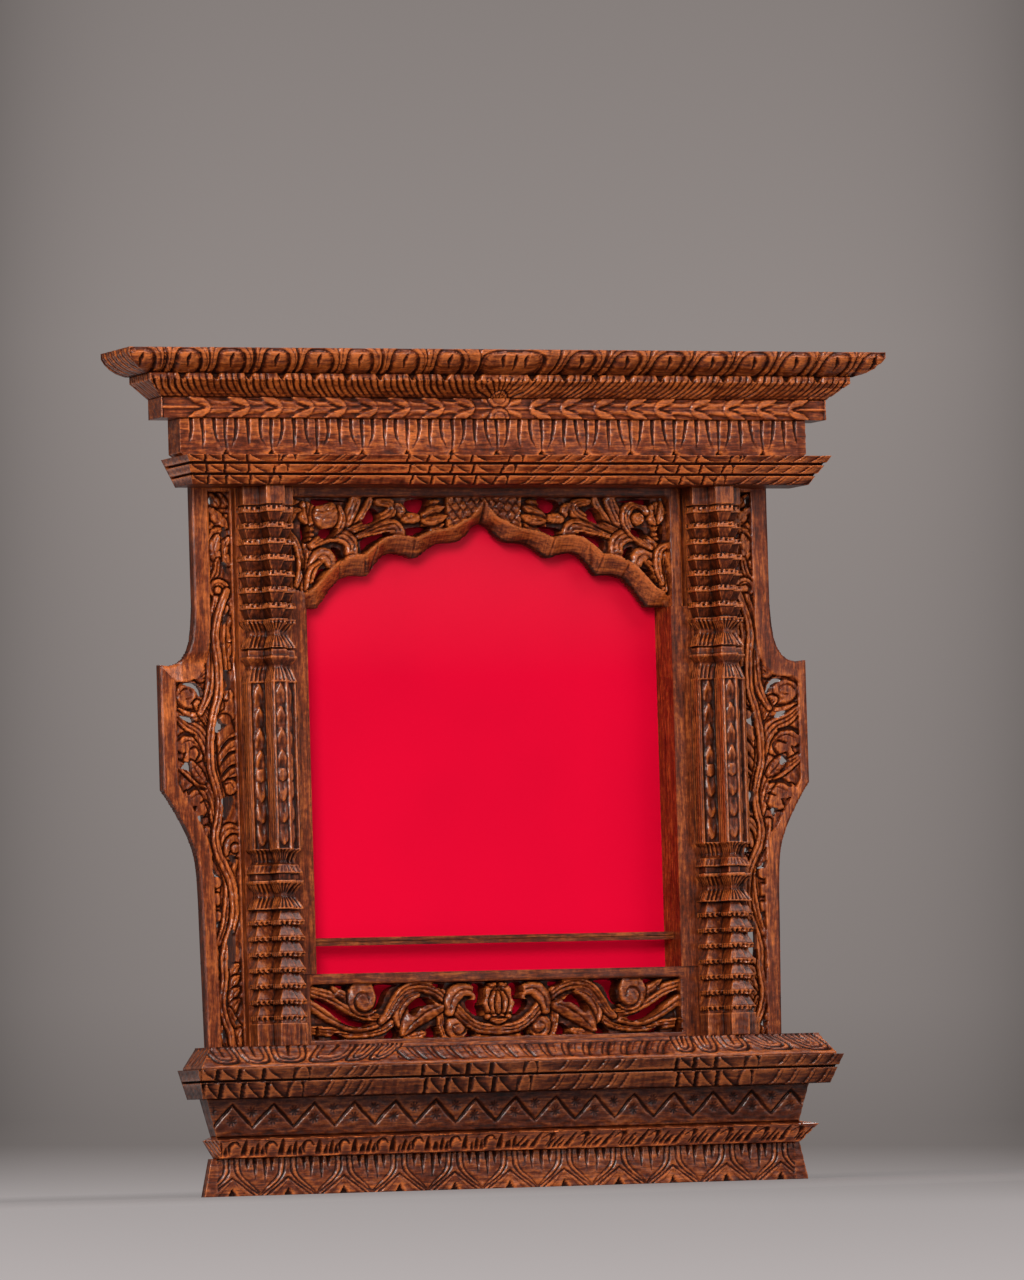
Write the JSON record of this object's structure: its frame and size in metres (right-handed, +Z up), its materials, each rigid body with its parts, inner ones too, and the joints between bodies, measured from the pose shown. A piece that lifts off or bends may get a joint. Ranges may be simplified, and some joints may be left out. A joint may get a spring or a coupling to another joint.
{
  "type": "carved wooden picture frame",
  "caption": "Carved hardwood picture frame shaped like a balcony window, with a pierced arch, tiered columns, side wings, a stepped cornice and base, and red satin behind the opening.",
  "frame": {"origin": "centre of the bottom rail's lower face, where the frame stands", "axes": "+Z up, -Y towards the carved front, +X to the right seen from the front"},
  "size_m": [0.492, 0.088, 0.502],
  "materials": {
    "carved_wood": "red-brown stain under a thin satin varnish, rubbed lighter on the raised carving",
    "carcass_wood": "brown stain, planed flat",
    "red_satin": "glossy crimson satin",
    "card": "plain grey card",
    "backing": "raw thin board",
    "brass": "stamped sheet and wire, slightly dulled",
    "screw_steel": "plated, slotted heads"
  },
  "bodies": {
    "frame": {"arch_panel": "carved_wood", "lower_panel": "carved_wood", "left_column": "carved_wood", "right_column": "carved_wood", "left_wing": "carved_wood", "right_wing": "carved_wood", "crown_board": "carved_wood", "cyma_board": "carved_wood", "chain_board": "carved_wood", "tongue_board": "carved_wood", "upper_dentil_board": "carved_wood", "sill_leaf_board": "carved_wood", "sill_dentil_board": "carved_wood", "frieze_board": "carved_wood", "gadroon_moulding": "carved_wood", "lotus_board": "carved_wood", "left_stile": "carcass_wood", "right_stile": "carcass_wood", "top_rail": "carcass_wood", "bottom_rail": "carcass_wood", "picture_slat": "carcass_wood", "satin_sheet": "red_satin", "satin_card": "card", "backing_board": "backing", "screw_low_left": "screw_steel", "screw_low_right": "screw_steel", "screw_top_left": "screw_steel", "screw_top_right": "screw_steel", "hanger_left": "brass", "hanger_right": "brass", "hanger_screw_left_1": "screw_steel", "hanger_screw_left_2": "screw_steel", "hanger_screw_right_1": "screw_steel", "hanger_screw_right_2": "screw_steel"},
    "button_low_left": {"button_low_left": "brass"},
    "button_low_right": {"button_low_right": "brass"},
    "button_top_left": {"button_top_left": "brass"},
    "button_top_right": {"button_top_right": "brass"},
    "ring_left": {"ring_left": "brass"},
    "ring_right": {"ring_right": "brass"}
  },
  "joints": [
    {"name": "button_low_left_turn", "type": "hinge", "parent": "frame", "child": "button_low_left", "pos_m": [-0.1352, 0.01812, 0.165], "axis": [0, 1, 0], "continuous": true},
    {"name": "button_low_right_turn", "type": "hinge", "parent": "frame", "child": "button_low_right", "pos_m": [0.1352, 0.01812, 0.165], "axis": [0, 1, 0], "continuous": true},
    {"name": "button_top_left_turn", "type": "hinge", "parent": "frame", "child": "button_top_left", "pos_m": [-0.1352, 0.01812, 0.3448], "axis": [0, 1, 0], "continuous": true},
    {"name": "button_top_right_turn", "type": "hinge", "parent": "frame", "child": "button_top_right", "pos_m": [0.1352, 0.01812, 0.3448], "axis": [0, 1, 0], "continuous": true},
    {"name": "ring_left_swing", "type": "hinge", "parent": "frame", "child": "ring_left", "pos_m": [-0.1432, 0.0195, 0.462], "axis": [1, 0, 0], "range_deg": [-4, 170]},
    {"name": "ring_right_swing", "type": "hinge", "parent": "frame", "child": "ring_right", "pos_m": [0.1432, 0.0195, 0.462], "axis": [1, 0, 0], "range_deg": [-4, 170]}
  ]
}
